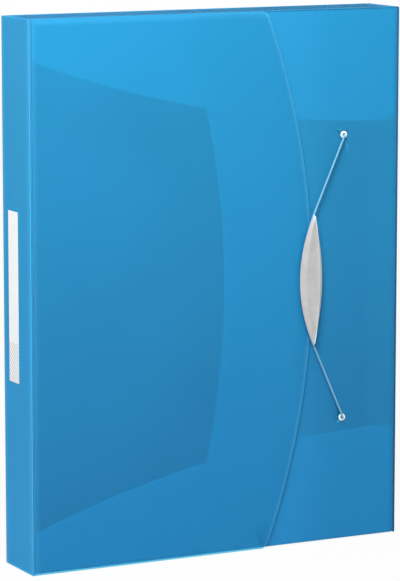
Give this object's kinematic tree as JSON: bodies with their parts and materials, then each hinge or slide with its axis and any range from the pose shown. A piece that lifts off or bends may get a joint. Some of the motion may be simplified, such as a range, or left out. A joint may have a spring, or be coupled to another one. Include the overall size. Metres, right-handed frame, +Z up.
{
  "type": "document box",
  "caption": "Upright creased plastic document box with a hinged cover, folding inner flaps and an elastic cord hooked on a clasp.",
  "frame": {"origin": "on the ground at the middle of the box's flat base, which is the bottom wall's underside", "axes": "+X from the spine to the fore edge, +Y from the front cover to the back panel, +Z up along the spine"},
  "size_m": [0.2501, 0.043, 0.33],
  "materials": {
    "blue_sheet": "satin translucent polypropylene sheet",
    "clasp_plastic": "satin light grey moulding",
    "eyelet_metal": "white lacquered eyelet",
    "tag_plastic": "clear milky bar",
    "cord_elastic": "braided elastic",
    "label_paper": "matt paper"
  },
  "bodies": {
    "tray": {"back_panel": "blue_sheet", "spine_panel": "blue_sheet", "fore_edge_wall": "blue_sheet", "top_wall": "blue_sheet", "bottom_wall": "blue_sheet", "top_spine_tab": "blue_sheet", "bottom_spine_tab": "blue_sheet", "top_fore_edge_tab": "blue_sheet", "bottom_fore_edge_tab": "blue_sheet", "spine_label": "label_paper"},
    "cover": {"front_cover": "blue_sheet", "clasp": "clasp_plastic", "clasp_backing": "clasp_plastic"},
    "side_flap": {"fore_edge_flap": "blue_sheet", "upper_eyelet": "eyelet_metal", "lower_eyelet": "eyelet_metal", "upper_cord_tag": "tag_plastic", "lower_cord_tag": "tag_plastic"},
    "upper_flap": {"top_flap": "blue_sheet"},
    "lower_flap": {"bottom_flap": "blue_sheet"},
    "elastic": {"elastic_cord": "cord_elastic"}
  },
  "joints": [
    {"name": "cover_fold", "type": "hinge", "parent": "tray", "child": "cover", "pos_m": [-0.1242, -0.0192, 0.165], "axis": [0, 0, -1], "range_deg": [0, 180]},
    {"name": "fore_edge_flap_fold", "type": "hinge", "parent": "tray", "child": "side_flap", "pos_m": [0.1242, -0.0173, 0.165], "axis": [0, 0, 1], "range_deg": [0, 126]},
    {"name": "top_flap_fold", "type": "hinge", "parent": "tray", "child": "upper_flap", "pos_m": [0, -0.0162, 0.3292], "axis": [1, 0, 0], "range_deg": [0, 27]},
    {"name": "bottom_flap_fold", "type": "hinge", "parent": "tray", "child": "lower_flap", "pos_m": [0, -0.0162, 0.0008], "axis": [-1, 0, 0], "range_deg": [0, 27]},
    {"name": "elastic_swing", "type": "hinge", "parent": "side_flap", "child": "elastic", "pos_m": [0.086, -0.0199, 0.165], "axis": [0, 0, 1], "range_deg": [0, 170], "deforming": ["elastic_cord"]}
  ],
  "couplings": [
    {"joint": "fore_edge_flap_fold", "follows": "cover_fold", "ratio": 0.7}
  ]
}
